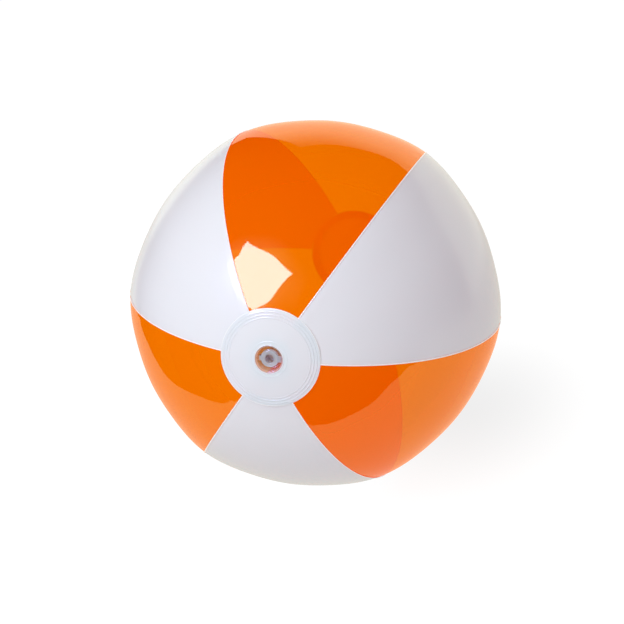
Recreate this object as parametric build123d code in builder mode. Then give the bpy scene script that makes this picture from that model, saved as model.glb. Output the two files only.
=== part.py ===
import os
from math import acos, asin, cos, degrees, radians, sin, sqrt

from build123d import *

# The inflated ball stands on the floor at z = 0 with its valve end towards -Y.
# Sizes are in millimetres, and panel angles in degrees, counted from +X towards +Z.

# Skin
equator_radius = 138.0  # inside the film, midway between the two ends
polar_radius = 146.0  # inside the film, at the two ends
film = 0.25
weld_gap = 0.05  # between two welded layers
lap = 5.0  # white film over the edge of an orange panel
lap_root = 2.0  # where the lap steps down to its own panel
panel_count = 6
first_seam = -4.3
disc_radius = 36.0  # over the panels' ends
disc_cover = 6.0  # how far a disc lies over them
ground_patch_depth = 0.5  # how far the ball's weight flattens it

# Valve stem, pushed in
stem_bore_radius = 4.0
stem_wall = 1.5
stem_length = 17.0
lip_width = 1.25  # out from the stem's wall
lip_height = 1.2
mouth_recess = 2.9  # from the disc's edge down to the mouth
soft_gap = 0.3  # between soft pieces that meet

# Cup round the stem, and the flange that holds it
cup_room = 2.75  # from the lip out to the flange, for fingertips
flange_step = 1.0  # how much of the flange shows inside the disc's hole
flange_width = 7.5
flange_thickness = 0.6
skirt_wall = 0.4
skirt_taper = 0.6

# Stopper in the stem
shank_clearance = 0.08
shank_length = 7.5
plug_wall = 0.85
cap_step = 0.5  # how much of the lip shows round the cap
cap_height = 1.2
cap_seat = 0.1
pull_tab_length = 1.85  # past the lip
pull_tab_width = 5.0
pull_tab_height = 0.9

# Strap from the stem to the stopper
strap_width = 3.5
strap_thickness = 0.8
strap_room = 0.75  # between the strap and the lip
strap_drop = 2.6  # below the lip

# Check flap at the stem's inner end
flap_cover = 0.7  # past the bore's edge
flap_thickness = 0.5
flap_seat = 0.3
hinge_offset = 0.4  # past the flap's edge
hinge_bead_radius = 0.45
hinge_width = 4.0

# Distances from the pole axis
panel_end_radius = disc_radius - disc_cover
stem_radius = stem_bore_radius + stem_wall
lip_radius = stem_radius + lip_width
flange_inner_radius = lip_radius + cup_room
flange_outer_radius = flange_inner_radius + flange_width
disc_hole_radius = flange_inner_radius + flange_step
cap_radius = lip_radius - cap_step
pull_tab_reach = lip_radius + pull_tab_length
strap_reach = lip_radius + strap_room + strap_thickness
flap_radius = stem_bore_radius + flap_cover
hinge_radius = flap_radius + hinge_offset

# Layers of the skin, as heights above the inside of the panels
lap_inside = film + weld_gap
lap_outside = lap_inside + film
disc_inside = lap_outside + weld_gap
disc_outside = disc_inside + film
flange_outside = disc_inside - weld_gap
flange_inside = flange_outside - flange_thickness

centre_height = equator_radius + film - ground_patch_depth
pole_axis = Axis((0, 0, centre_height), (0, -1, 0))
panel_angle = 360 / panel_count
colours = ("white", "orange")
places = ("right", "top", "left", "left", "bottom", "right")


def meridian(angle):
    # A plane through the pole axis: x runs out from the axis and y towards the valve.
    turn = radians(angle)
    outward = (cos(turn), 0, sin(turn))
    return Plane(origin=(0, 0, centre_height), x_dir=outward, z_dir=(sin(turn), 0, -cos(turn)))


def ellipse_angle(radius, height, end):
    # Where the skin's section reaches this distance from the pole axis; end is 1 at the valve.
    return end * degrees(acos(radius / (equator_radius + height)))


def skin_at(radius, height):
    # How far towards the valve the skin lies at this distance from the pole axis.
    return (polar_radius + height) * sqrt(1 - (radius / (equator_radius + height)) ** 2)


def layer_section(plane, inside, outside, start, finish):
    # One layer of the skin in section; start and finish are (radius, end) pairs.
    arcs = []
    with BuildSketch(plane) as section:
        with BuildLine():
            for height in (inside, outside):
                first = ellipse_angle(start[0], height, start[1])
                last = ellipse_angle(finish[0], height, finish[1])
                radii = (equator_radius + height, polar_radius + height)
                turn = last - first
                arcs.append(EllipticalCenterArc((0, 0), *radii, start_angle=first, arc_size=turn))
            Line(arcs[0] @ 0, arcs[1] @ 0)
            Line(arcs[0] @ 1, arcs[1] @ 1)
        make_face()
    return section.sketch


def panel_section(angle, inside, outside):
    back = (panel_end_radius, -1)
    front = (panel_end_radius, 1)
    return layer_section(meridian(angle), inside, outside, back, front)


def wedge(seam, side, inside, outside, first, last):
    # A strip of one layer along a seam, between two distances from it; side is 1 past the seam.
    reach = degrees(asin(last / panel_end_radius)) + 1
    start = seam if side > 0 else seam - reach
    with BuildPart() as strip:
        revolve(panel_section(start, inside, outside), axis=pole_axis, revolution_arc=reach)
        cut_beside(seam, side, first, away=True)
        cut_beside(seam, side, last, away=False)
    return strip.part


def cut_beside(seam, side, distance, away):
    # Keeps what lies further from the seam than the distance, or what lies nearer.
    beyond_is_below = side > 0
    keep = Keep.BOTTOM if away == beyond_is_below else Keep.TOP
    split(bisect_by=meridian(seam).offset(-side * distance), keep=keep)


def ground_plate():
    # The flat spot that the floor presses into the lowest panel.
    height = film / 2
    with BuildPart() as plate:
        section = layer_section(meridian(0), -equator_radius / 2, height, (0, -1), (0, 1))
        revolve(section, axis=pole_axis, revolution_arc=360)
        split(bisect_by=Plane.XY.offset(film), keep=Keep.BOTTOM)
        split(bisect_by=Plane.XY, keep=Keep.TOP)
    return plate.part


# Six panels, white and orange in turn, that meet to the eye on six even seams
spread = degrees(asin(lap / panel_end_radius)) + 1
panels = []
for index in range(panel_count):
    seam = first_seam + panel_angle * index
    next_seam = seam + panel_angle
    colour = colours[index % 2]
    place = places[index]
    if colour == "orange":
        # The edges go on under the white laps.
        with BuildPart() as panel:
            section = panel_section(seam - spread, 0, film)
            revolve(section, axis=pole_axis, revolution_arc=panel_angle + 2 * spread)
            cut_beside(seam, -1, lap, away=False)
            cut_beside(next_seam, 1, lap, away=False)
    else:
        laps = []
        for border, side in ((seam, 1), (next_seam, -1)):
            laps.append(wedge(border, side, lap_inside, lap_outside, 0, lap + lap_root))
            laps.append(
                wedge(border, side, film / 2, lap_inside + film / 2, lap + weld_gap, lap + lap_root)
            )
        with BuildPart() as panel:
            revolve(panel_section(seam, 0, film), axis=pole_axis, revolution_arc=panel_angle)
            cut_beside(seam, 1, lap + weld_gap, away=True)
            cut_beside(next_seam, -1, lap + weld_gap, away=True)
            add(laps)
            if place == "bottom":
                split(bisect_by=Plane.XY, keep=Keep.TOP)
                add(ground_plate())
    panel.part.label = f"panel_{colour}_{place}"
    panels.append(panel.part)

# End discs over the panels' ends
with BuildPart() as valve_end_disc:
    section = layer_section(
        meridian(0), disc_inside, disc_outside, (disc_radius, 1), (disc_hole_radius, 1)
    )
    revolve(section, axis=pole_axis, revolution_arc=360)
valve_end_disc.part.label = "valve_end_disc"

with BuildPart() as far_end_disc:
    section = layer_section(meridian(0), disc_inside, disc_outside, (0, -1), (disc_radius, -1))
    revolve(section, axis=pole_axis, revolution_arc=360)
far_end_disc.part.label = "far_end_disc"

# Clear flange welded under the disc's hole
with BuildPart() as valve_flange:
    section = layer_section(
        meridian(0),
        flange_inside,
        flange_outside,
        (flange_outer_radius, 1),
        (flange_inner_radius, 1),
    )
    revolve(section, axis=pole_axis, revolution_arc=360)
valve_flange.part.label = "valve_flange"

# Heights along the valve's axis, from the ball's centre
mouth = skin_at(disc_hole_radius, disc_outside) - mouth_recess
stem_root = mouth - stem_length
skirt_top = skin_at(flange_inner_radius, flange_inside) - weld_gap
skirt_floor = stem_root + skirt_wall
cap_bottom = mouth + cap_seat
cap_top = cap_bottom + cap_height
shank_end = cap_bottom - shank_length
shank_radius = stem_bore_radius - shank_clearance

# Thin cup that lets the stem be pushed in
with BuildPart() as valve_skirt:
    with BuildSketch(meridian(0)):
        with BuildLine():
            Polyline(
                (flange_inner_radius, skirt_top),
                (flange_inner_radius - skirt_taper, skirt_floor),
                (stem_radius + soft_gap, skirt_floor),
                (stem_radius + soft_gap, skirt_floor + skirt_wall),
                (flange_inner_radius - skirt_taper - skirt_wall, skirt_floor + skirt_wall),
                (flange_inner_radius - skirt_wall, skirt_top),
                close=True,
            )
        make_face()
    revolve(axis=pole_axis, revolution_arc=360)
valve_skirt.part.label = "valve_skirt"

# Tube with a lip at its mouth
with BuildPart() as valve_stem:
    with BuildSketch(meridian(0)):
        with BuildLine():
            Polyline(
                (stem_bore_radius, stem_root),
                (stem_radius, stem_root),
                (stem_radius, mouth - lip_height),
                (lip_radius, mouth - lip_height),
                (lip_radius, mouth),
                (stem_bore_radius, mouth),
                close=True,
            )
        make_face()
    revolve(axis=pole_axis, revolution_arc=360)
    rims = valve_stem.edges().filter_by(GeomType.CIRCLE).filter_by(lambda e: e.radius == lip_radius)
    fillet(rims, radius=lip_height / 3)
valve_stem.part.label = "valve_stem"

# Hollow plug with a cap and a tab to pull
with BuildPart() as stopper:
    with BuildSketch(meridian(0)):
        with BuildLine():
            Polyline(
                (0, shank_end),
                (shank_radius, shank_end),
                (shank_radius, cap_bottom),
                (cap_radius, cap_bottom),
                (cap_radius, cap_top),
                (shank_radius - plug_wall, cap_top),
                (shank_radius - plug_wall, shank_end + plug_wall),
                (0, shank_end + plug_wall),
                close=True,
            )
        make_face()
    revolve(axis=pole_axis, revolution_arc=360)
    tab_plane = Plane(origin=(0, -cap_bottom, centre_height), x_dir=(1, 0, 0), z_dir=(0, -1, 0))
    tab_start = (shank_radius + cap_radius) / 2
    with BuildSketch(tab_plane):
        with Locations(((tab_start + pull_tab_reach) / 2, 0)):
            RectangleRounded(pull_tab_reach - tab_start, pull_tab_width, 1)
    extrude(amount=pull_tab_height)
stopper.part.label = "stopper"

# Strap bent round the lip, from the stem's side to the cap's side
with BuildPart() as tether:
    strap_inside = strap_reach - strap_thickness
    strap_high = cap_bottom + (cap_height + strap_thickness) / 2
    strap_low = mouth - lip_height - strap_drop
    with BuildSketch(meridian(180)):
        with BuildLine():
            Polyline(
                (cap_radius + soft_gap, strap_high),
                (strap_reach, strap_high),
                (strap_reach, strap_low),
                (stem_radius + soft_gap, strap_low),
                (stem_radius + soft_gap, strap_low + strap_thickness),
                (strap_inside, strap_low + strap_thickness),
                (strap_inside, strap_high - strap_thickness),
                (cap_radius + soft_gap, strap_high - strap_thickness),
                close=True,
            )
        make_face()
    extrude(amount=strap_width / 2, both=True)
tether.part.label = "tether"

# Flap that air pressure shuts against the stem's inner end
with BuildPart() as check_flap:
    flap_top = stem_root - flap_seat
    flap_plane = Plane(origin=(0, -flap_top, centre_height), x_dir=(1, 0, 0), z_dir=(0, 1, 0))
    with BuildSketch(flap_plane):
        Circle(flap_radius)
    extrude(amount=flap_thickness)
    with BuildSketch(flap_plane):
        with Locations((0, -hinge_radius / 2)):
            Rectangle(hinge_width, hinge_radius)
    extrude(amount=flap_thickness)
    bead_at = (-hinge_width / 2, -flap_top + flap_thickness / 2, centre_height + hinge_radius)
    with BuildSketch(Plane(origin=bead_at, x_dir=(0, 1, 0), z_dir=(1, 0, 0))):
        Circle(hinge_bead_radius)
    extrude(amount=hinge_width)
check_flap.part.label = "check_flap"

# One file for each piece
builders = (
    valve_end_disc,
    far_end_disc,
    valve_flange,
    valve_skirt,
    valve_stem,
    stopper,
    tether,
    check_flap,
)
os.makedirs("parts", exist_ok=True)
for piece in panels + [builder.part for builder in builders]:
    export_step(piece, f"parts/{piece.label}.step")
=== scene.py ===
from math import acos, cos, pi, radians, sin

import bmesh
import bpy
from mathutils import Matrix, Vector


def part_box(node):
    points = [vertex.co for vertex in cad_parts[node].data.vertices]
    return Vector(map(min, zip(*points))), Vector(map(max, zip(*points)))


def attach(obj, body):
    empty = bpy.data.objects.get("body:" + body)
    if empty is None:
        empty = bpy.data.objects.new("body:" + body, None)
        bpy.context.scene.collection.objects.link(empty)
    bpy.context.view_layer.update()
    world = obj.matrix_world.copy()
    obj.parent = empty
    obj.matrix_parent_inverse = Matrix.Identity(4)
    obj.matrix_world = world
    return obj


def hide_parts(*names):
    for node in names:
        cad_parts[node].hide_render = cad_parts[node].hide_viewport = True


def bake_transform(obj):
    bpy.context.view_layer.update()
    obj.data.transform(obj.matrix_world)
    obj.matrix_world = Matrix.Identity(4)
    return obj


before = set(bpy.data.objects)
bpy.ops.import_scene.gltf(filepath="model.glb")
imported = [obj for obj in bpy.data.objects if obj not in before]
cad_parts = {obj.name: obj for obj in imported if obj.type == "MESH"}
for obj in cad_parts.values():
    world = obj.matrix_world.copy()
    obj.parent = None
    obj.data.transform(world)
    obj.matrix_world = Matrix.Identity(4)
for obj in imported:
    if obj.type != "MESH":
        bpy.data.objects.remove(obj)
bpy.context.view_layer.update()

mm = 0.001
scene = bpy.context.scene
scene.view_settings.view_transform = "Standard"

ball = {
    "equatorRadius": 138 * mm,
    "polarRadius": 146 * mm,
    "film": 0.25 * mm,
    "seamBulge": 0.0117,  # share of the radius that a seam stands out by
    "firstSeam": -4.3,  # degrees from +X towards +Z
    "discRadius": 36 * mm,
    "discHole": 10.5 * mm,
    "panelEnd": 30 * mm,
}
# the centre lies one radius of film below the top of the CAD's top panel
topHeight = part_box("panel_orange_top")[1].z
centre = Vector((0, 0, topHeight - ball["equatorRadius"] - ball["film"]))


class Wire:
    # an output socket that ordinary arithmetic works on
    def __init__(self, graph, socket):
        self.graph = graph
        self.socket = socket

    def math(self, operation, first, second=None):
        values = {0: first} if second is None else {0: first, 1: second}
        return self.graph.add("ShaderNodeMath", {"operation": operation}, values).out()

    def __add__(self, other):
        return self.math("ADD", self, other)

    def __radd__(self, other):
        return self.math("ADD", other, self)

    def __sub__(self, other):
        return self.math("SUBTRACT", self, other)

    def __rsub__(self, other):
        return self.math("SUBTRACT", other, self)

    def __mul__(self, other):
        return self.math("MULTIPLY", self, other)

    def __rmul__(self, other):
        return self.math("MULTIPLY", other, self)

    def __truediv__(self, other):
        return self.math("DIVIDE", self, other)

    def __rtruediv__(self, other):
        return self.math("DIVIDE", other, self)

    def __pow__(self, other):
        return self.math("POWER", self, other)

    def __neg__(self):
        return self.math("MULTIPLY", self, -1)


class Made:
    # a node that was added, with its outputs as wires
    def __init__(self, graph, node):
        self.graph = graph
        self.node = node

    def out(self, name=0):
        return Wire(self.graph, self.node.outputs[name])


class Graph:
    def __init__(self, tree):
        self.tree = tree

    def add(self, kind, settings=None, values=None):
        node = self.tree.nodes.new(kind)
        for name, value in (settings or {}).items():
            setattr(node, name, value)
        for name, value in (values or {}).items():
            self.feed(node.inputs[name], value)
        return Made(self, node)

    def feed(self, socket, value):
        if isinstance(value, Made):
            value = value.out()
        if isinstance(value, Wire):
            self.tree.links.new(value.socket, socket)
        else:
            socket.default_value = value


def sine(wire):
    return wire.math("SINE", wire)


def cosine(wire):
    return wire.math("COSINE", wire)


def absolute(wire):
    return wire.math("ABSOLUTE", wire)


def clampTo(wire, low, high):
    return wire.math("MINIMUM", wire.math("MAXIMUM", wire, low), high)


def smoothStep(wire, start, end):
    # 0 before start, 1 after end, and a soft ramp between
    share = clampTo((wire - start) / (end - start), 0, 1)
    return share * share * (3 - 2 * share)


def newTree(name, inputs):
    tree = bpy.data.node_groups.new(name, "GeometryNodeTree")
    tree.interface.new_socket("Geometry", in_out="OUTPUT", socket_type="NodeSocketGeometry")
    kinds = {"material": "NodeSocketMaterial", "count": "NodeSocketInt"}
    for label, kind in inputs.items():
        socketType = kinds.get(kind, "NodeSocketFloat")
        tree.interface.new_socket(label, in_out="INPUT", socket_type=socketType)
    graph = Graph(tree)
    source = graph.add("NodeGroupInput")
    wires = {label: source.out(label) for label in inputs}
    return graph, wires


def finishTree(graph, geometry, material):
    realized = graph.add("GeometryNodeRealizeInstances", {}, {"Geometry": geometry})
    dressed = graph.add("GeometryNodeSetMaterial", {}, {"Geometry": realized, "Material": material})
    graph.add("NodeGroupOutput", {}, {"Geometry": dressed})
    return graph.tree


def grow(name, tree, values):
    # runs a tree with these inputs and keeps what it makes as a plain mesh
    piece = bpy.data.objects.new(name, bpy.data.meshes.new(name))
    scene.collection.objects.link(piece)
    modifier = piece.modifiers.new("grow", "NODES")
    modifier.node_group = tree
    for item in tree.interface.items_tree:
        if item.item_type == "SOCKET" and item.in_out == "INPUT" and item.name in values:
            modifier[item.identifier] = values[item.name]
    bpy.context.view_layer.update()
    seen = piece.evaluated_get(bpy.context.evaluated_depsgraph_get())
    mesh = bpy.data.meshes.new_from_object(seen)
    piece.modifiers.clear()
    piece.data = mesh
    mesh.name = name
    closeUp(piece, 0.01 * mm)
    return piece


def closeUp(piece, distance):
    # joins the mesh's doubles and shades it smooth
    work = bmesh.new()
    work.from_mesh(piece.data)
    bmesh.ops.remove_doubles(work, verts=work.verts, dist=distance)
    work.to_mesh(piece.data)
    work.free()
    for face in piece.data.polygons:
        face.use_smooth = True


def faceOut(piece):
    # turns a sheet's faces away from the ball's centre
    work = bmesh.new()
    work.from_mesh(piece.data)
    wrong = [f for f in work.faces if f.normal.dot(f.calc_center_median() - centre) < 0]
    bmesh.ops.reverse_faces(work, faces=wrong)
    work.to_mesh(piece.data)
    work.free()


def skinPoint(graph, turn, angle, lift, sizes):
    # The rule for the ball's skin: an egg with six soft corners.
    # turn goes round the pole axis from +X towards +Z; angle is 90 degrees at the valve.
    round6 = (turn - sizes["First seam"]) * 6
    outline = (cosine(round6) + 0.3 * cosine(round6 * 2)) / 1.3
    across = cosine(angle)
    swell = 1 + sizes["Bulge"] * outline * clampTo(across, 0, 1) ** 1.5
    radius = (sizes["Equator radius"] + lift) * across * swell
    along = (sizes["Polar radius"] + lift) * sine(angle) * swell
    values = {"X": radius * cosine(turn), "Y": -along}
    values["Z"] = radius * sine(turn) + sizes["Centre height"]
    return graph.add("ShaderNodeCombineXYZ", {}, values)


skinSizes = {
    "Equator radius": ball["equatorRadius"],
    "Polar radius": ball["polarRadius"],
    "Bulge": ball["seamBulge"],
    "First seam": radians(ball["firstSeam"]),
    "Centre height": centre.z,
}
skinInputs = {label: "size" for label in skinSizes}


def gridOf(graph, acrossCount, alongCount):
    # a unit grid, with its two coordinates from 0 to 1
    settings = {"Size X": 1, "Size Y": 1, "Vertices X": acrossCount, "Vertices Y": alongCount}
    grid = graph.add("GeometryNodeMeshGrid", {}, settings)
    place = graph.add("GeometryNodeInputPosition")
    parts = graph.add("ShaderNodeSeparateXYZ", {}, {"Vector": place})
    return grid, parts.out("X") + 0.5, parts.out("Y") + 0.5


def keepFlatMap(graph, geometry, first, second):
    # a UV map with one metre to a unit, so that a pattern can follow the film
    flat = graph.add("ShaderNodeCombineXYZ", {}, {"X": first, "Y": second})
    settings = {"data_type": "FLOAT2", "domain": "CORNER"}
    values = {"Geometry": geometry, "Name": "filmMap", "Value": flat}
    return graph.add("GeometryNodeStoreNamedAttribute", settings, values)


panelSkin = {
    "acrossCount": 72,
    "alongCount": 260,
    "lapWidth": 5.5 * mm,
    "lapLift": 0.08 * mm,
    "lapRamp": 2.0 * mm,
    "puckerDepth": 0.32 * mm,
    "puckerLength": 10 * mm,
    "puckerReach": 9 * mm,
}


def makePanelTree():
    own = {
        "Start turn": "size",
        "Span": "size",
        "End angle": "size",
        "Lap lift": "size",
        "Lap width": "size",
        "Lap ramp": "size",
        "Pucker depth": "size",
        "Pucker length": "size",
        "Pucker reach": "size",
        "Material": "material",
    }
    graph, wires = newTree("panelSkin", {**skinInputs, **own})
    grid, across, along = gridOf(graph, panelSkin["acrossCount"], panelSkin["alongCount"])
    turn = wires["Start turn"] + wires["Span"] * across
    angle = wires["End angle"] * (2 * along - 1)
    radius = wires["Equator radius"] * cosine(angle)
    nearest = wires["Span"] * 0.5 - absolute(across - 0.5) * wires["Span"]
    fromSeam = radius * sine(nearest)
    lap = 1 - smoothStep(fromSeam, wires["Lap width"], wires["Lap width"] + wires["Lap ramp"])
    # small gathers along the welds, just off each seam
    reach = wires["Pucker reach"]
    nearSeam = 1 - smoothStep(fromSeam, 0.2 * reach, reach)
    offSeam = smoothStep(fromSeam, 0, 0.25 * reach)
    run = wires["Polar radius"] * angle / wires["Pucker length"]
    seed = graph.add("ShaderNodeCombineXYZ", {}, {"X": run, "Y": turn * 3, "Z": 4.0})
    ripple = graph.add("ShaderNodeTexNoise", {}, {"Vector": seed, "Scale": 1.0, "Detail": 1.0})
    wave = (ripple.out(0) - 0.5) * 2
    gather = wires["Pucker depth"] * wave * nearSeam * offSeam
    lift = wires["Lap lift"] * lap + gather
    point = skinPoint(graph, turn, angle, lift, wires)
    placed = graph.add("GeometryNodeSetPosition", {}, {"Geometry": grid, "Position": point})
    mapped = keepFlatMap(graph, placed, fromSeam, wires["Polar radius"] * angle)
    return finishTree(graph, mapped, wires["Material"])


def newMaterial(name):
    material = bpy.data.materials.new(name)
    material.use_nodes = True
    material.node_tree.nodes.clear()
    return material, Graph(material.node_tree)


def filmBumps(graph, size, height):
    # the slow waviness that a calendered film keeps
    place = graph.add("ShaderNodeTexCoord")
    values = {"Vector": place.out("Object"), "Scale": 1 / size, "Detail": 2.0}
    waves = graph.add("ShaderNodeTexNoise", {}, values)
    values = {"Strength": 1.0, "Distance": height, "Height": waves.out(0)}
    return graph.add("ShaderNodeBump", {}, values)


orangeFilm = {
    "body": (0.56, 0.165, 0.0, 1),
    "tint": (1.0, 0.54, 0.0, 1),
    # inner is a painted glow: the film's emission stands in for light that scatters between the
    # films inside the ball
    "inner": (0.34, 0.03, 0.0, 1),
    "shine": (1.0, 0.98, 0.44, 1),
    "solidShare": 0.5,
    "roughness": 0.04,
    "ior": 2.1,
    "waveSize": 45 * mm,
    "waveHeight": 0.12 * mm,
}
whiteFilm = {
    "body": (0.765, 0.885, 0.985, 1),
    "warm": (0.775, 0.885, 0.97, 1),
    "roughness": 0.22,
    "ior": 1.5,
    "waveSize": 50 * mm,
    "waveHeight": 0.1 * mm,
    "cloudScale": 9.0,
    "throughLight": (0.95, 0.6, 0.42, 1),
    "throughShare": 0.15,
    "discRoughness": 0.12,
    # painted light: the inward side's orange colour and glow stand in for the orange light inside
    # the ball
    "insidePaintedLight": (1.0, 0.26, 0.04, 1),
    "insidePaintedGlow": (0.13, 0.012, 0.0, 1),
    # the welded edges' glow is painted light that makes them brighter than the panels
    "edgePaintedGlow": (0.16, 0.145, 0.11, 1),
}
clearVinyl = {
    "body": (0.80, 0.83, 0.90, 1),
    "tint": (0.90, 0.92, 0.96, 1),
    "solidShare": 0.38,
    "roughness": 0.03,
    "ior": 2.5,
}


def seeThrough(graph, values, share, normal=None):
    clear = graph.add("ShaderNodeBsdfTransparent", {}, {"Color": values["tint"]})
    film = {"Base Color": values["body"], "Roughness": values["roughness"], "IOR": values["ior"]}
    if normal is not None:
        film["Normal"] = normal
    # a film with an inner colour gets it as a painted glow, an emission that is no lamp
    if "inner" in values:
        film["Emission Color"] = values["inner"]
        film["Emission Strength"] = 1.0
        film["Specular Tint"] = values["shine"]
    solid = graph.add("ShaderNodeBsdfPrincipled", {}, film)
    return graph.add("ShaderNodeMixShader", {}, {0: share, 1: clear, 2: solid})


def makeOrangeFilm():
    material, graph = newMaterial("orangeFilm")
    bumps = filmBumps(graph, orangeFilm["waveSize"], orangeFilm["waveHeight"])
    mixed = seeThrough(graph, orangeFilm, orangeFilm["solidShare"], bumps)
    graph.add("ShaderNodeOutputMaterial", {}, {"Surface": mixed})
    return material


def makeWhiteFilm(name, roughness, outerPaintedGlow=(0, 0, 0, 1)):
    material, graph = newMaterial(name)
    bumps = filmBumps(graph, whiteFilm["waveSize"], whiteFilm["waveHeight"])
    place = graph.add("ShaderNodeTexCoord")
    values = {"Vector": place.out("Object"), "Scale": whiteFilm["cloudScale"]}
    clouds = graph.add("ShaderNodeTexNoise", {}, values)
    values = {"Factor": clouds.out(0), 6: whiteFilm["body"], 7: whiteFilm["warm"]}
    colour = graph.add("ShaderNodeMix", {"data_type": "RGBA"}, values)
    # the side that faces into the ball gets a painted orange colour and a painted glow, which stand
    # in for the orange light in there
    inward = graph.add("ShaderNodeNewGeometry").out("Backfacing")
    values = {"Factor": inward, 6: colour.out(2), 7: whiteFilm["insidePaintedLight"]}
    sided = graph.add("ShaderNodeMix", {"data_type": "RGBA"}, values)
    # painted glow: the inward side glows orange, the outward side glows with the given colour
    values = {"Factor": inward, 6: outerPaintedGlow, 7: whiteFilm["insidePaintedGlow"]}
    glowSides = graph.add("ShaderNodeMix", {"data_type": "RGBA"}, values)
    film = {"Base Color": sided.out(2), "Roughness": roughness, "Normal": bumps}
    film["IOR"] = whiteFilm["ior"]
    film["Emission Color"] = glowSides.out(2)
    film["Emission Strength"] = 1.0
    solid = graph.add("ShaderNodeBsdfPrincipled", {}, film)
    lit = graph.add("ShaderNodeBsdfTranslucent", {}, {"Color": whiteFilm["throughLight"]})
    mixed = graph.add("ShaderNodeMixShader", {}, {0: whiteFilm["throughShare"], 1: solid, 2: lit})
    graph.add("ShaderNodeOutputMaterial", {}, {"Surface": mixed})
    return material


def makeClearVinyl():
    material, graph = newMaterial("clearVinyl")
    mixed = seeThrough(graph, clearVinyl, clearVinyl["solidShare"])
    graph.add("ShaderNodeOutputMaterial", {}, {"Surface": mixed})
    return material


orange = makeOrangeFilm()
white = makeWhiteFilm("whiteFilm", whiteFilm["roughness"])
discWhite = makeWhiteFilm("discFilm", whiteFilm["discRoughness"])
# the welded edges carry a painted glow, no lamp
edgeWhite = makeWhiteFilm("weldedEdge", whiteFilm["discRoughness"], whiteFilm["edgePaintedGlow"])
clear = makeClearVinyl()
print("materials made")

panelTree = makePanelTree()
panelNames = (
    "panel_white_right",
    "panel_orange_top",
    "panel_white_left",
    "panel_orange_left",
    "panel_white_bottom",
    "panel_orange_right",
)
for index, node in enumerate(panelNames):
    isOrange = "orange" in node
    values = {
        **skinSizes,
        "Start turn": radians(ball["firstSeam"] + 60 * index),
        "Span": radians(60),
        "End angle": acos(ball["panelEnd"] / ball["equatorRadius"]),
        "Lap lift": 0.0 if isOrange else panelSkin["lapLift"],
        "Lap width": panelSkin["lapWidth"],
        "Lap ramp": panelSkin["lapRamp"],
        "Pucker depth": panelSkin["puckerDepth"],
        "Pucker length": panelSkin["puckerLength"],
        "Pucker reach": panelSkin["puckerReach"],
        "Material": orange if isOrange else white,
    }
    panel = grow("film_" + node, panelTree, values)
    faceOut(panel)
    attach(panel, "ball")
    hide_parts(node)
print("panels made")

# The seam welds show as a narrow bright rim on each border: the rim is raised, and its brightness
# is partly a painted glow in its material
seamRim = {
    "count": 6,
    "width": 1.0 * mm,
    "height": 0.35 * mm,
    "lift": 0.3 * mm,
    "acrossCount": 7,
    "alongCount": 220,
}


def makeRimTree():
    own = {
        "End angle": "size",
        "Rim width": "size",
        "Rim height": "size",
        "Rim lift": "size",
        "Seams": "count",
        "Material": "material",
    }
    graph, wires = newTree("seamRims", {**skinInputs, **own})
    grid, across, along = gridOf(graph, seamRim["acrossCount"], seamRim["alongCount"])
    angle = wires["End angle"] * (2 * along - 1)
    radius = wires["Equator radius"] * cosine(angle)
    aside = (across - 0.5) * wires["Rim width"]
    crown = cosine((across - 0.5) * pi)
    lift = wires["Rim height"] * crown + wires["Rim lift"]
    turn = wires["First seam"] + aside / radius
    point = skinPoint(graph, turn, angle, lift, wires)
    placed = graph.add("GeometryNodeSetPosition", {}, {"Geometry": grid, "Position": point})
    # one rim for each seam, turned about the pole axis
    points = graph.add("GeometryNodePoints", {}, {"Count": wires["Seams"]})
    number = graph.add("GeometryNodeInputIndex")
    turnEach = number.out() * (2 * pi) / wires["Seams"]
    sideways = graph.add("ShaderNodeCombineXYZ", {}, {"X": 0.0, "Y": -1 * turnEach, "Z": 0.0})
    down = graph.add("ShaderNodeCombineXYZ", {}, {"Z": -1 * wires["Centre height"]})
    up = graph.add("ShaderNodeCombineXYZ", {}, {"Z": wires["Centre height"]})
    lowered = graph.add("GeometryNodeTransform", {}, {"Geometry": placed, "Translation": down})
    values = {"Points": points, "Instance": lowered, "Rotation": sideways}
    copies = graph.add("GeometryNodeInstanceOnPoints", {}, values)
    real = graph.add("GeometryNodeRealizeInstances", {}, {"Geometry": copies})
    raised = graph.add("GeometryNodeTransform", {}, {"Geometry": real, "Translation": up})
    return finishTree(graph, raised, wires["Material"])


values = {
    **skinSizes,
    "End angle": acos(ball["panelEnd"] / ball["equatorRadius"]),
    "Rim width": seamRim["width"],
    "Rim height": seamRim["height"],
    "Rim lift": seamRim["lift"],
    "Seams": seamRim["count"],
    "Material": edgeWhite,
}
rims = grow("seam_welds", makeRimTree(), values)
faceOut(rims)
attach(rims, "ball")
print("seam welds made")

# The end discs, with the rings that the welding dies leave
endDisc = {
    "roundCount": 192,
    "outCount": 120,
    "lift": 0.9 * mm,
    "edgeDrop": 0.45 * mm,
    "edgeWidth": 0.5 * mm,
    "ringHeight": 0.34 * mm,
    "ringWidth": 0.75 * mm,
    "ringGap": 2.1 * mm,
    "firstRing": 2.4 * mm,
    "valveRing": 13 * mm,
}


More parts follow.
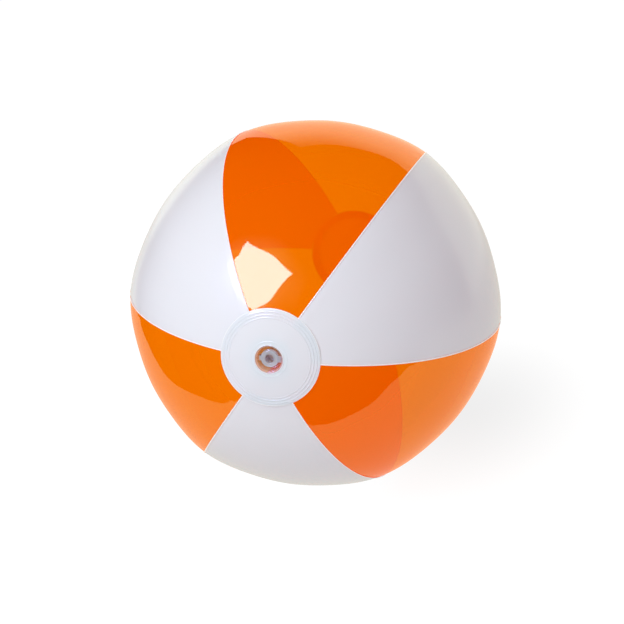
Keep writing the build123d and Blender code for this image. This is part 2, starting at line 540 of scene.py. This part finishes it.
def makeDiscTree():
    own = {
        "End": "size",
        "Inner radius": "size",
        "Outer radius": "size",
        "Lift": "size",
        "Edge drop": "size",
        "Edge width": "size",
        "Ring height": "size",
        "Ring width": "size",
        "Ring gap": "size",
        "First ring": "size",
        "Valve ring": "size",
        "Material": "material",
    }
    graph, wires = newTree("endDisc", {**skinInputs, **own})
    grid, across, along = gridOf(graph, endDisc["roundCount"] + 1, endDisc["outCount"])
    turn = across * (2 * pi)
    width = wires["Outer radius"] - wires["Inner radius"]
    out = wires["Inner radius"] + width * along
    cosineOf = out / wires["Equator radius"]
    angle = wires["End"] * cosineOf.math("ARCCOSINE", cosineOf)
    fromEdge = wires["Outer radius"] - out
    rings = 0
    for number in range(3):
        middle = wires["First ring"] + wires["Ring gap"] * number
        rings = ridge(fromEdge - middle, wires["Ring width"]) + rings
    rings = rings + 0.5 * ridge(out - wires["Valve ring"], wires["Ring width"] * 1.2)
    edge = 1 - smoothStep(fromEdge, 0, wires["Edge width"])
    lift = wires["Lift"] + wires["Ring height"] * rings - wires["Edge drop"] * edge
    point = skinPoint(graph, turn, angle, lift, wires)
    placed = graph.add("GeometryNodeSetPosition", {}, {"Geometry": grid, "Position": point})
    mapped = keepFlatMap(graph, placed, out * cosine(turn), out * sine(turn))
    return finishTree(graph, mapped, wires["Material"])


def ridge(away, width):
    # a rounded ridge, one high, where the distance is nought
    share = clampTo(1 - absolute(away) / (width * 0.5), 0, 1)
    return share * share * (3 - 2 * share)


discTree = makeDiscTree()
for name, node, end, inner in (
    ("film_valve_end_disc", "valve_end_disc", 1, ball["discHole"]),
    ("film_far_end_disc", "far_end_disc", -1, 0.0),
):
    values = {
        **skinSizes,
        "End": end,
        "Inner radius": inner,
        "Outer radius": ball["discRadius"],
        "Lift": endDisc["lift"],
        "Edge drop": endDisc["edgeDrop"],
        "Edge width": endDisc["edgeWidth"],
        "Ring height": endDisc["ringHeight"],
        "Ring width": endDisc["ringWidth"],
        "Ring gap": endDisc["ringGap"],
        "First ring": endDisc["firstRing"],
        "Valve ring": endDisc["valveRing"] if end > 0 else 0.0,
        "Material": discWhite,
    }
    disc = grow(name, discTree, values)
    faceOut(disc)
    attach(disc, "ball")
    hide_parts(node)
print("end discs made")

# The valve: soft clear parts, most of them turned about the pole axis
valveSoft = {"corner": 0.3 * mm, "cornerSteps": 4, "step": 0.6 * mm, "roundCount": 96}


def softened(outline, reach):
    # cuts each corner with a short curve
    made = []
    count = len(outline)
    for index, corner in enumerate(outline):
        corner = Vector(corner)
        before = Vector(outline[index - 1]) - corner
        after = Vector(outline[(index + 1) % count]) - corner
        first = corner + before.normalized() * min(reach, before.length * 0.45)
        last = corner + after.normalized() * min(reach, after.length * 0.45)
        for step in range(valveSoft["cornerSteps"] + 1):
            share = step / valveSoft["cornerSteps"]
            near = first.lerp(corner, share)
            far = corner.lerp(last, share)
            made.append(near.lerp(far, share))
    return made


def divided(outline, step):
    # adds points so that no stretch of the outline is longer than a step
    made = []
    for index, point in enumerate(outline):
        following = outline[(index + 1) % len(outline)]
        parts = max(1, int((following - point).length / step + 0.5))
        made += [point.lerp(following, part / parts) for part in range(parts)]
    return made


def keepMesh(name, work, material):
    bmesh.ops.remove_doubles(work, verts=work.verts, dist=0.001 * mm)
    bmesh.ops.recalc_face_normals(work, faces=work.faces)
    mesh = bpy.data.meshes.new(name)
    work.to_mesh(mesh)
    work.free()
    mesh.materials.append(material)
    for face in mesh.polygons:
        face.use_smooth = True
    piece = bpy.data.objects.new(name, mesh)
    scene.collection.objects.link(piece)
    return piece


def turned(name, outline, material, corner=None):
    # an outline of (radius, distance along the pole axis) swept all the way round
    reach = valveSoft["corner"] if corner is None else corner
    rule = divided(softened(outline, reach), valveSoft["step"])
    work = bmesh.new()
    rings = []
    for index in range(valveSoft["roundCount"]):
        angle = 2 * pi * index / valveSoft["roundCount"]
        places = [(p[0] * cos(angle), -p[1], centre.z + p[0] * sin(angle)) for p in rule]
        rings.append([work.verts.new(place) for place in places])
    for index, ring in enumerate(rings):
        following = rings[(index + 1) % len(rings)]
        for spot in range(len(rule)):
            ahead = (spot + 1) % len(rule)
            work.faces.new((ring[spot], ring[ahead], following[ahead], following[spot]))
    return keepMesh(name, work, material)


def slab(name, outline, low, high, material, corner):
    # a flat outline in x and height, with softened edges, between two distances
    work = bmesh.new()
    layers = ((corner, low), (0.3 * corner, low + 0.3 * corner), (0, low + corner))
    layers += ((0, high - corner), (0.3 * corner, high - 0.3 * corner), (corner, high))
    middle = sum((Vector(p) for p in outline), Vector((0, 0))) / len(outline)
    rings = []
    for inset, away in layers:
        ring = []
        for point in softened(outline, 1.1 * mm):
            moved = point + (middle - point).normalized() * inset
            ring.append(work.verts.new((moved[0], -away, centre.z + moved[1])))
        rings.append(ring)
    for lower, upper in zip(rings, rings[1:]):
        for spot in range(len(lower)):
            ahead = (spot + 1) % len(lower)
            work.faces.new((lower[spot], lower[ahead], upper[ahead], upper[spot]))
    work.faces.new(rings[0])
    work.faces.new(rings[-1])
    return keepMesh(name, work, material)


def clearPiece(piece, body, node):
    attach(piece, body)
    if node:
        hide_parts(node)


def depthOf(node):
    # how far the node's inner and outer ends lie along the pole axis
    low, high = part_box(node)
    return -high.y, -low.y


valve = {
    "holeRim": 0.3 * mm,
    "discEdgeHalf": 0.32 * mm,
    "discEdgeLift": 0.5 * mm,
    "flangeInner": 9.5 * mm,
    "flangeOuter": 17.0 * mm,
    "flangeDrop": 0.77 * mm,
    "flangeThick": 0.6 * mm,
    "skirtTop": 9.5 * mm,
    "skirtLow": 8.9 * mm,
    "skirtWall": 0.4 * mm,
    "skirtHole": 5.8 * mm,
    "stemRadius": 5.5 * mm,
    "stemBore": 4.0 * mm,
    "lipRadius": 6.75 * mm,
    "lipHeight": 1.2 * mm,
    "beadRise": 0.22 * mm,
}

# pale rim round the hole in the disc
holeAt = depthOf("valve_end_disc")[1] + 0.02 * mm
rimHalf = valve["holeRim"]
holeRadius = ball["discHole"]
outline = [
    (holeRadius - rimHalf, holeAt - rimHalf),
    (holeRadius + 2 * rimHalf, holeAt - rimHalf),
    (holeRadius + 2 * rimHalf, holeAt + 0.5 * rimHalf),
    (holeRadius - rimHalf, holeAt + rimHalf),
]
holeRim = turned("hole_rim", outline, discWhite, 0.2 * mm)
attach(holeRim, "ball")

# the cut edge of each disc stands a little proud of the panels
edgeRadius = ball["discRadius"]
edgeHalf = valve["discEdgeHalf"]
edgeAt = ball["polarRadius"] * sin(acos(edgeRadius / ball["equatorRadius"]))
edgeAt += valve["discEdgeLift"]
for name, end in (("valve_disc_edge", 1), ("far_disc_edge", -1)):
    outline = [
        (edgeRadius - edgeHalf, end * (edgeAt - edgeHalf)),
        (edgeRadius + edgeHalf, end * (edgeAt - edgeHalf)),
        (edgeRadius + edgeHalf, end * (edgeAt + edgeHalf)),
        (edgeRadius - edgeHalf, end * (edgeAt + edgeHalf)),
    ]
    # the disc edges share the welded edges' painted glow
    edge = turned(name, outline, edgeWhite, 0.25 * mm)
    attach(edge, "ball")

inner, outer = depthOf("valve_flange")
inside, outside = valve["flangeInner"], valve["flangeOuter"]
thick, drop = valve["flangeThick"], valve["flangeDrop"]
outline = [
    (inside, outer - thick),
    (outside, outer - thick - drop),
    (outside, outer - drop),
    (inside, outer),
]
clearPiece(turned("flange_ring", outline, clear), "ball", "valve_flange")

# the cup round the stem, one fixed piece: in the real valve it bends as the stem is pushed, its rim
# staying with the ball and its floor going with the stem
inner, outer = depthOf("valve_skirt")
top, low, wall = valve["skirtTop"], valve["skirtLow"], valve["skirtWall"]
outline = [
    (top, outer),
    (low, inner),
    (valve["skirtHole"], inner),
    (valve["skirtHole"], inner + wall),
    (low - wall, inner + wall),
    (top - wall, outer),
]
cup = turned("valve_cup", outline, clear, 0.19 * mm)
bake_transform(cup)
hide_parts("valve_skirt")

inner, outer = depthOf("valve_stem")
radius, bore = valve["stemRadius"], valve["stemBore"]
lip, below = valve["lipRadius"], outer - valve["lipHeight"]
bead = valve["beadRise"]
outline = [(bore, inner), (radius, inner)]
for place in (0.3, 0.55):
    at = inner + (below - inner) * place
    outline += [(radius, at - bead * 2), (radius + bead, at), (radius, at + bead * 2)]
outline += [(radius, below), (lip, below), (lip, outer), (bore, outer)]
clearPiece(turned("stem_tube", outline, clear), "stem", "valve_stem")

stopper = {
    "capRadius": 6.25 * mm,
    "capHeight": 1.2 * mm,
    "shankRadius": 3.92 * mm,
    "hollowRadius": 3.07 * mm,
    "endWall": 0.9 * mm,
    "tabStart": 5.2 * mm,
    "tabEnd": 8.6 * mm,
    "tabHalfWidth": 2.5 * mm,
    "tabThick": 0.9 * mm,
    "ribAt": (6.9 * mm, 7.7 * mm),
    "ribHalfThick": 0.2 * mm,
    "ribHalfWidth": 1.5 * mm,
    "ribHeight": 0.22 * mm,
    "ribSunk": 0.1 * mm,
}
inner, outer = depthOf("stopper")
shank, hollow, cap = stopper["shankRadius"], stopper["hollowRadius"], stopper["capRadius"]
capLow = outer - stopper["capHeight"]
floorAt = inner + stopper["endWall"]
outline = [(0, inner), (shank - 0.5 * mm, inner), (shank, inner + 0.8 * mm), (shank, capLow)]
outline += [(cap, capLow), (cap, outer), (hollow, outer), (hollow, floorAt), (0, floorAt)]
clearPiece(turned("stopper_plug", outline, clear), "stopper", "stopper")

start, end, half = stopper["tabStart"], stopper["tabEnd"], stopper["tabHalfWidth"]
outline = [(start, -half), (end, -half), (end, half), (start, half)]
tabTop = capLow + stopper["tabThick"]
clearPiece(slab("stopper_tab", outline, capLow, tabTop, clear, 0.25 * mm), "stopper", None)
half = stopper["ribHalfWidth"]
ribLow, ribTop = tabTop - stopper["ribSunk"], tabTop + stopper["ribHeight"]
for index, at in enumerate(stopper["ribAt"]):
    near, far = at - stopper["ribHalfThick"], at + stopper["ribHalfThick"]
    outline = [(near, -half), (far, -half), (far, half), (near, half)]
    rib = slab("tab_rib_%d" % (index + 1), outline, ribLow, ribTop, clear, 0.1 * mm)
    clearPiece(rib, "stopper", None)

strap = {
    "width": 3.4 * mm,
    "thick": 0.75 * mm,
    "corner": 0.22 * mm,
    "square": 0.38,  # lower is a squarer bend
    "count": 64,
}


def makeStrapTree():
    own = {
        "Inner radius": "size",
        "Outer radius": "size",
        "Low": "size",
        "High": "size",
        "Width": "size",
        "Thick": "size",
        "Corner": "size",
        "Square": "size",
        "Centre height": "size",
        "Material": "material",
    }
    graph, wires = newTree("strap", own)
    line = graph.add("GeometryNodeCurvePrimitiveLine")
    points = graph.add("GeometryNodeResampleCurve", {}, {"Curve": line, "Count": strap["count"]})
    share = graph.add("GeometryNodeSplineParameter").out("Factor")
    bend = share * pi
    reach = clampTo(sine(bend), 0, 1) ** wires["Square"]
    radius = wires["Inner radius"] + (wires["Outer radius"] - wires["Inner radius"]) * reach
    middle = (wires["Low"] + wires["High"]) * 0.5
    half = (wires["High"] - wires["Low"]) * 0.5
    away = middle + half * cosine(bend)
    values = {"X": -radius, "Y": -away, "Z": wires["Centre height"]}
    spot = graph.add("ShaderNodeCombineXYZ", {}, values)
    path = graph.add("GeometryNodeSetPosition", {}, {"Geometry": points, "Position": spot})
    even = graph.add("GeometryNodeResampleCurve", {}, {"Curve": path, "Count": strap["count"]})
    upright = graph.add("GeometryNodeSetCurveNormal", {"mode": "Z_UP"}, {"Curve": even})
    values = {"Width": wires["Thick"], "Height": wires["Width"]}
    section = graph.add("GeometryNodeCurvePrimitiveQuadrilateral", {"mode": "RECTANGLE"}, values)
    values = {"Curve": section, "Radius": wires["Corner"], "Count": 4}
    rounded = graph.add("GeometryNodeFilletCurve", {"mode": "POLY"}, values)
    values = {"Curve": upright, "Profile Curve": rounded, "Fill Caps": True}
    swept = graph.add("GeometryNodeCurveToMesh", {}, values)
    return finishTree(graph, swept, wires["Material"])


tetherLow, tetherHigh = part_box("tether")
half = strap["thick"] / 2
lowAt, highAt = -tetherHigh.y + half, -tetherLow.y - half
values = {
    "Inner radius": -tetherHigh.x,
    "Outer radius": -tetherLow.x - half,
    "Low": lowAt,
    "High": highAt,
    "Width": strap["width"],
    "Thick": strap["thick"],
    "Corner": strap["corner"],
    "Square": strap["square"],
    "Centre height": centre.z,
    "Material": clear,
}
band = grow("stopper_strap", makeStrapTree(), values)
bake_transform(band)
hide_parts("tether")

flap = {"thick": 0.5 * mm, "corner": 0.15 * mm, "hingeLength": 3.0 * mm, "hingeSides": 24}
flapLow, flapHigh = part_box("check_flap")
hingeRadius = (flapHigh.y - flapLow.y) / 2
hingeAt = Vector((0, (flapHigh.y + flapLow.y) / 2, flapHigh.z - hingeRadius))
flapRadius = flapHigh.x
flapIn, flapOut = -hingeAt.y - flap["thick"] / 2, -hingeAt.y + flap["thick"] / 2
outline = [(0, flapIn), (flapRadius, flapIn), (flapRadius, flapOut), (0, flapOut)]
clearPiece(turned("flap_disc", outline, clear, flap["corner"]), "flap", "check_flap")
work = bmesh.new()
along = Matrix.Translation(hingeAt) @ Matrix.Rotation(radians(90), 4, "Y")
sizes = {"radius1": hingeRadius, "radius2": hingeRadius, "depth": flap["hingeLength"]}
bmesh.ops.create_cone(work, segments=flap["hingeSides"], cap_ends=True, matrix=along, **sizes)
clearPiece(keepMesh("flap_hinge", work, clear), "flap", None)
print("valve made")

camera = {
    "azimuth": 13.2,
    "elevation": 16.6,
    "distance": 1.97,
    "lens": 150.2,
    "sensor": 36,
    "aimRight": -3.03 * mm,  # the aim's steps from the ball's centre
    "aimUp": -7.26 * mm,
}


def placeCamera():
    turn = radians(camera["azimuth"])
    rise = radians(camera["elevation"])
    back = Vector((sin(turn) * cos(rise), -cos(turn) * cos(rise), sin(rise)))
    right = Vector((cos(turn), sin(turn), 0))
    up = back.cross(right)
    made = bpy.data.objects.new("camera", bpy.data.cameras.new("camera"))
    scene.collection.objects.link(made)
    made.data.lens = camera["lens"]
    made.data.sensor_width = camera["sensor"]
    aim = centre + right * camera["aimRight"] + up * camera["aimUp"]
    made.location = aim + back * camera["distance"]
    made.rotation_euler = back.to_track_quat("Z", "Y").to_euler()
    made.data.clip_start = 0.05
    made.data.clip_end = 60
    scene.camera = made


placeCamera()

# The studio: a big square lamp, a white table and a white wall behind it
studio = {
    "fill": 0.6,
    "sky": 1.2,
    "keyRadiance": 5.3,
    "keySize": 0.66,
    "keyDistance": 1.2,
    "keyTurn": 68,
    "keyToward": (-0.381, -0.771, 0.510),
    "boxGlow": 10.5,
    "boxColour": (0.97, 1.05, 2.2, 1),
    "haloGlow": 0.9,
    "haloSize": 1.9,
    "tableGlow": (0.85, 0.92, 0.76, 1),
    "wallGlow": (1.25, 1.36, 1.15, 1),
    "wallTopGlow": (0.25, 0.25, 0.2, 1),
    "wallHeight": 2.7,
    "floorColour": (0.08, 0.08, 0.08, 1),
    "floorGlow": 0.65,
    "floorBright": 0.33,
    "floorHalf": 8.0,
    "shadeDepth": 0.17,
    "shadeAt": (0.085, 0.18),
    "shadeReach": (0.13, 0.27),
    "tableFront": ((-0.10, -0.222), (0.09, -0.165), (0.36, -0.155)),
    "tableSide": 2.2,
    "tableEdge": -0.15,
    "wallTop": ((3.0, 0.6), (0.33, 0.75), (-0.82, 1.0), (-1.05, 0.35), (-2.2, 0.2)),
}


def glowing(name, colour, strength=1.0):
    material, graph = newMaterial(name)
    light = graph.add("ShaderNodeEmission", {}, {"Color": colour, "Strength": strength})
    graph.add("ShaderNodeOutputMaterial", {}, {"Surface": light})
    return material


def fadingGlow(name, low, high, height):
    # a glow that changes with the height above the floor
    material, graph = newMaterial(name)
    place = graph.add("ShaderNodeTexCoord")
    parts = graph.add("ShaderNodeSeparateXYZ", {}, {"Vector": place.out("Object")})
    share = smoothStep(parts.out("Z"), 0.45 * height, height)
    values = {"Factor": share, 6: low, 7: high}
    colour = graph.add("ShaderNodeMix", {"data_type": "RGBA"}, values)
    light = graph.add("ShaderNodeEmission", {}, {"Color": colour.out(2)})
    graph.add("ShaderNodeOutputMaterial", {}, {"Surface": light})
    return material


def spreadingGlow(name, middle, reach, strength):
    # a glow that fades with the distance from a point
    material, graph = newMaterial(name)
    place = graph.add("ShaderNodeTexCoord")
    values = {0: place.out("Object"), 1: middle}
    away = graph.add("ShaderNodeVectorMath", {"operation": "DISTANCE"}, values).out("Value")
    level = strength * (1 - smoothStep(away, 0.3 * reach, reach))
    colour = graph.add("ShaderNodeCombineColor", {}, {0: level, 1: level, 2: level})
    light = graph.add("ShaderNodeEmission", {}, {"Color": colour})
    graph.add("ShaderNodeOutputMaterial", {}, {"Surface": light})
    return material


def card(name, corners, material):
    # a sheet that only reflections see
    mesh = bpy.data.meshes.new(name)
    mesh.from_pydata(corners, [], [tuple(range(len(corners)))])
    mesh.materials.append(material)
    made = bpy.data.objects.new(name, mesh)
    scene.collection.objects.link(made)
    made.visible_camera = False
    made.visible_diffuse = False
    made.visible_transmission = False
    made.visible_shadow = False
    made.visible_volume_scatter = False
    return made


def makeFloor():
    half = studio["floorHalf"]
    mesh = bpy.data.meshes.new("floor")
    corners = [(-half, -half, 0), (half, -half, 0), (half, half, 0), (-half, half, 0)]
    mesh.from_pydata(corners, [], [(0, 1, 2, 3)])
    floor = bpy.data.objects.new("floor", mesh)
    scene.collection.objects.link(floor)
    material, graph = newMaterial("paleFloor")
    matt = graph.add("ShaderNodeBsdfDiffuse", {}, {"Color": studio["floorColour"]})
    ray = graph.add("ShaderNodeLightPath")
    strength = studio["floorGlow"] + studio["floorBright"] * ray.out("Is Camera Ray")
    # a painted soft shade, darker emission that lies behind the ball on the side away from the
    # lamp, added to the lamp's own shadow
    place = graph.add("ShaderNodeTexCoord")
    parts = graph.add("ShaderNodeSeparateXYZ", {}, {"Vector": place.out("Object")})
    (shadeX, shadeY), (reachX, reachY) = studio["shadeAt"], studio["shadeReach"]
    aside = (parts.out("X") - shadeX) / reachX
    behind = (parts.out("Y") - shadeY) / reachY
    away = (aside * aside + behind * behind) ** 0.5
    level = 1 - studio["shadeDepth"] * (1 - smoothStep(away, 0, 1))
    shade = graph.add("ShaderNodeCombineColor", {}, {0: level, 1: level, 2: level})
    light = graph.add("ShaderNodeEmission", {}, {"Color": shade, "Strength": strength})
    both = graph.add("ShaderNodeAddShader", {}, {0: matt, 1: light})
    graph.add("ShaderNodeOutputMaterial", {}, {"Surface": both})
    mesh.materials.append(material)
    floor.visible_glossy = False


def makeSky():
    world = bpy.data.worlds.new("studio")
    world.use_nodes = True
    world.node_tree.nodes.clear()
    graph = Graph(world.node_tree)
    ray = graph.add("ShaderNodeLightPath")
    unseen = studio["fill"] * (1 - ray.out("Is Glossy Ray"))
    strength = unseen + (studio["sky"] - studio["fill"]) * ray.out("Is Camera Ray")
    sky = graph.add("ShaderNodeBackground", {}, {"Color": (1, 1, 1, 1), "Strength": strength})
    graph.add("ShaderNodeOutputWorld", {}, {"Surface": sky})
    scene.world = world


def makeKey():
    key = bpy.data.lights.new("key", "AREA")
    key.shape = "SQUARE"
    key.size = studio["keySize"]
    key.energy = studio["keyRadiance"] * pi * studio["keySize"] ** 2
    made = bpy.data.objects.new("key", key)
    scene.collection.objects.link(made)
    toward = Vector(studio["keyToward"]).normalized()
    place = centre + toward * studio["keyDistance"]
    facing = toward.to_track_quat("Z", "Y").to_matrix()
    facing = facing @ Matrix.Rotation(radians(studio["keyTurn"]), 3, "Z")
    made.location = place
    made.rotation_euler = facing.to_euler()
    made.visible_glossy = False
    # what reflections see of the lamp: its bright face, and a soft spill round it
    across = facing @ Vector((1, 0, 0))
    upward = facing @ Vector((0, 1, 0))
    face = glowing("lampFace", studio["boxColour"], studio["boxGlow"])
    spillSize = studio["keySize"] * studio["haloSize"]
    behind = place + toward * 0.01
    spill = spreadingGlow("lampSpill", behind, spillSize / 2, studio["haloGlow"])
    for name, middle, size, material in (
        ("lampFace", place, studio["keySize"], face),
        ("lampSpill", behind, spillSize, spill),
    ):
        half = size / 2
        corners = [
            middle + across * (half * first) + upward * (half * second)
            for first, second in ((-1, -1), (1, -1), (1, 1), (-1, 1))
        ]
        card(name, corners, material)


def makeCards():
    side = studio["tableSide"]
    table = [(x, y, 0) for x, y in studio["tableFront"]]
    table += [(side, studio["tableEdge"], 0), (side, side, 0), (-side, side, 0)]
    card("tableCard", table, glowing("tableGlow", studio["tableGlow"]))
    tall = studio["wallHeight"]
    wall = [(-side, side, 0), (studio["wallTop"][0][0], side, 0)]
    wall += [(x, side, share * tall) for x, share in studio["wallTop"]]
    lit = fadingGlow("wallGlow", studio["wallGlow"], studio["wallTopGlow"], tall)
    card("wallCard", wall, lit)


makeFloor()
makeSky()
makeKey()
makeCards()
print("studio made")
